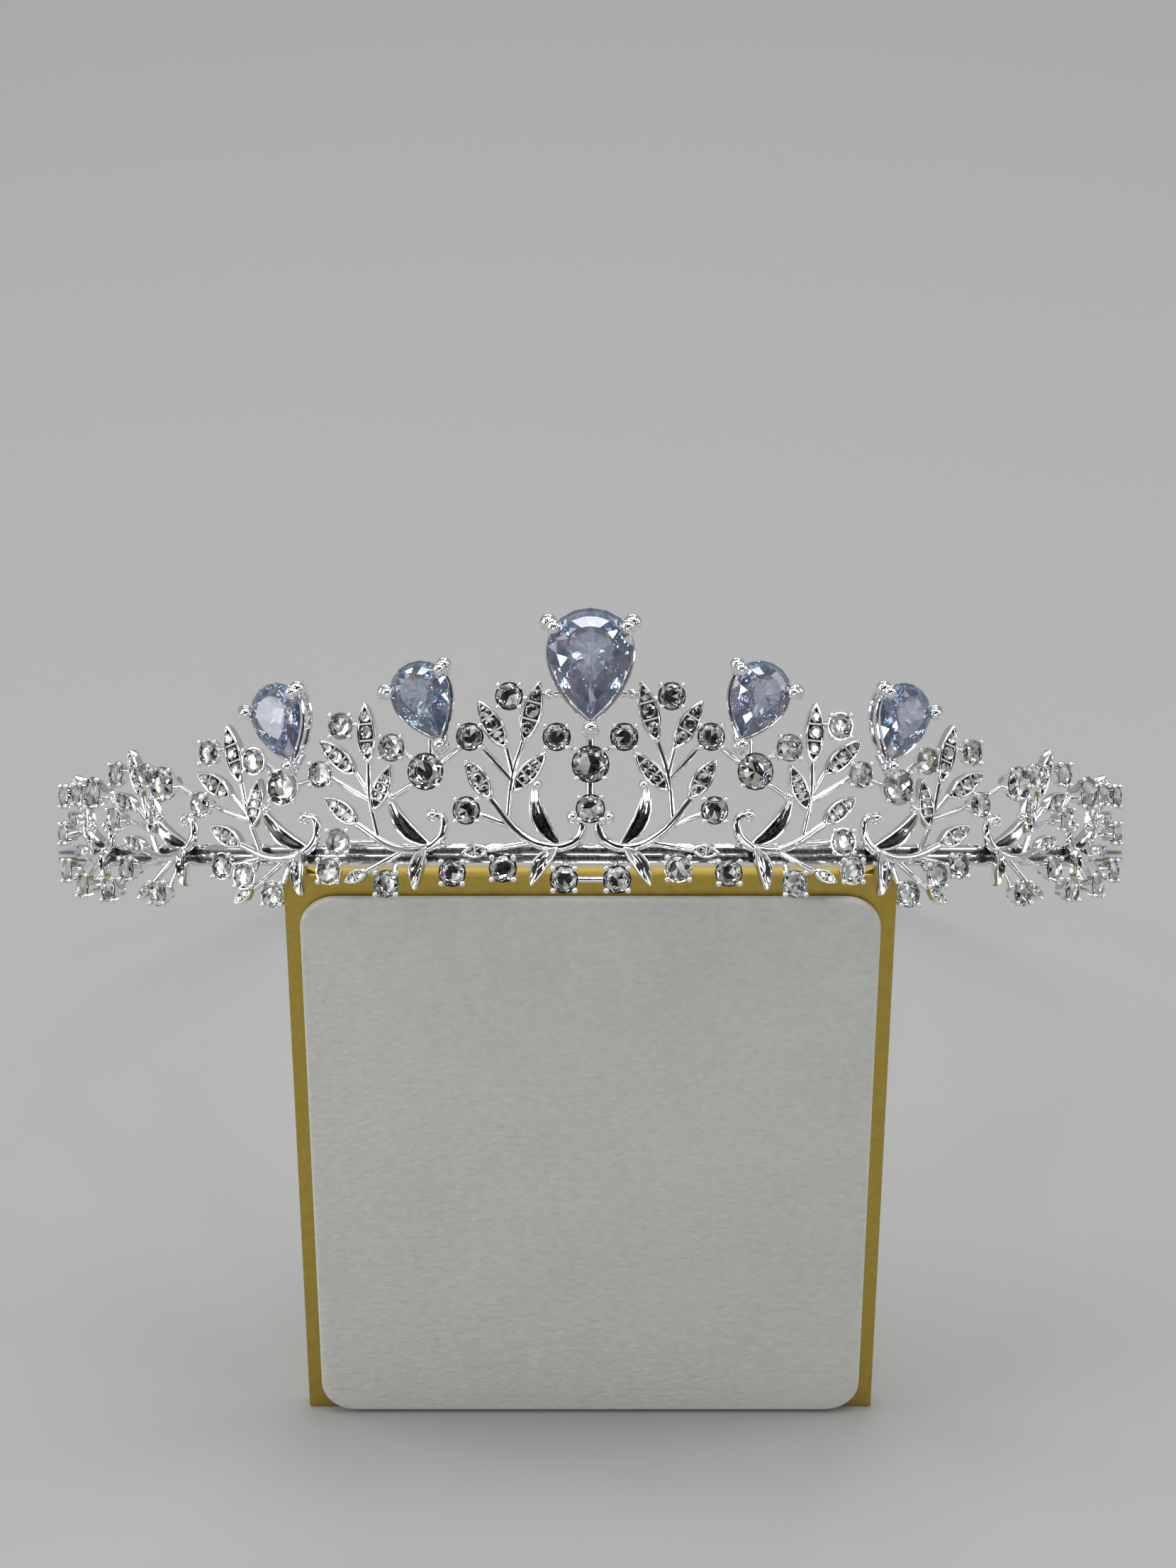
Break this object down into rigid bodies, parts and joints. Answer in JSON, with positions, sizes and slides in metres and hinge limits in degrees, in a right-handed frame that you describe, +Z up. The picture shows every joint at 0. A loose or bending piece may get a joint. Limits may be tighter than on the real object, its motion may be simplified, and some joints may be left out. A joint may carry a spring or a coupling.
{
  "type": "diadem on a plain display stand",
  "caption": "Stone-set scrollwork diadem that leans back over an upright padded display plate, its band resting on the plate's top corners and its arm ends on the floor.",
  "frame": {"origin": "middle of the stand plate's foot, on the floor", "axes": "+Z up, -Y the show side that the forehead faces, +X across, from the left arm to the right arm as the picture shows them"},
  "size_m": [0.1444, 0.1405, 0.1169],
  "materials": {
    "silver_metal": "polished rhodium-like plating",
    "gold_plate": "satin gold",
    "pad": "fine-grained white leatherette",
    "lilac_stone": "cut pale lilac-blue stone",
    "clear_stone": "cut clear stone with a foiled back"
  },
  "bodies": {
    "root": {"stand_plate": "gold_plate", "stand_pad": "pad", "stand_strut": "gold_plate", "tiara_frame": "silver_metal", "pear_center": "lilac_stone", "pear_inner_left": "lilac_stone", "pear_inner_right": "lilac_stone", "pear_outer_left": "lilac_stone", "pear_outer_right": "lilac_stone", "round_upper": "clear_stone", "round_lower": "clear_stone", "round_inner_left": "clear_stone", "round_inner_right": "clear_stone", "round_outer_left": "clear_stone", "round_outer_right": "clear_stone", "round_side_left": "clear_stone", "round_side_right": "clear_stone", "round_end_left": "clear_stone", "round_end_right": "clear_stone", "chatons_left": "clear_stone", "chatons_right": "clear_stone"}
  },
  "joints": []
}
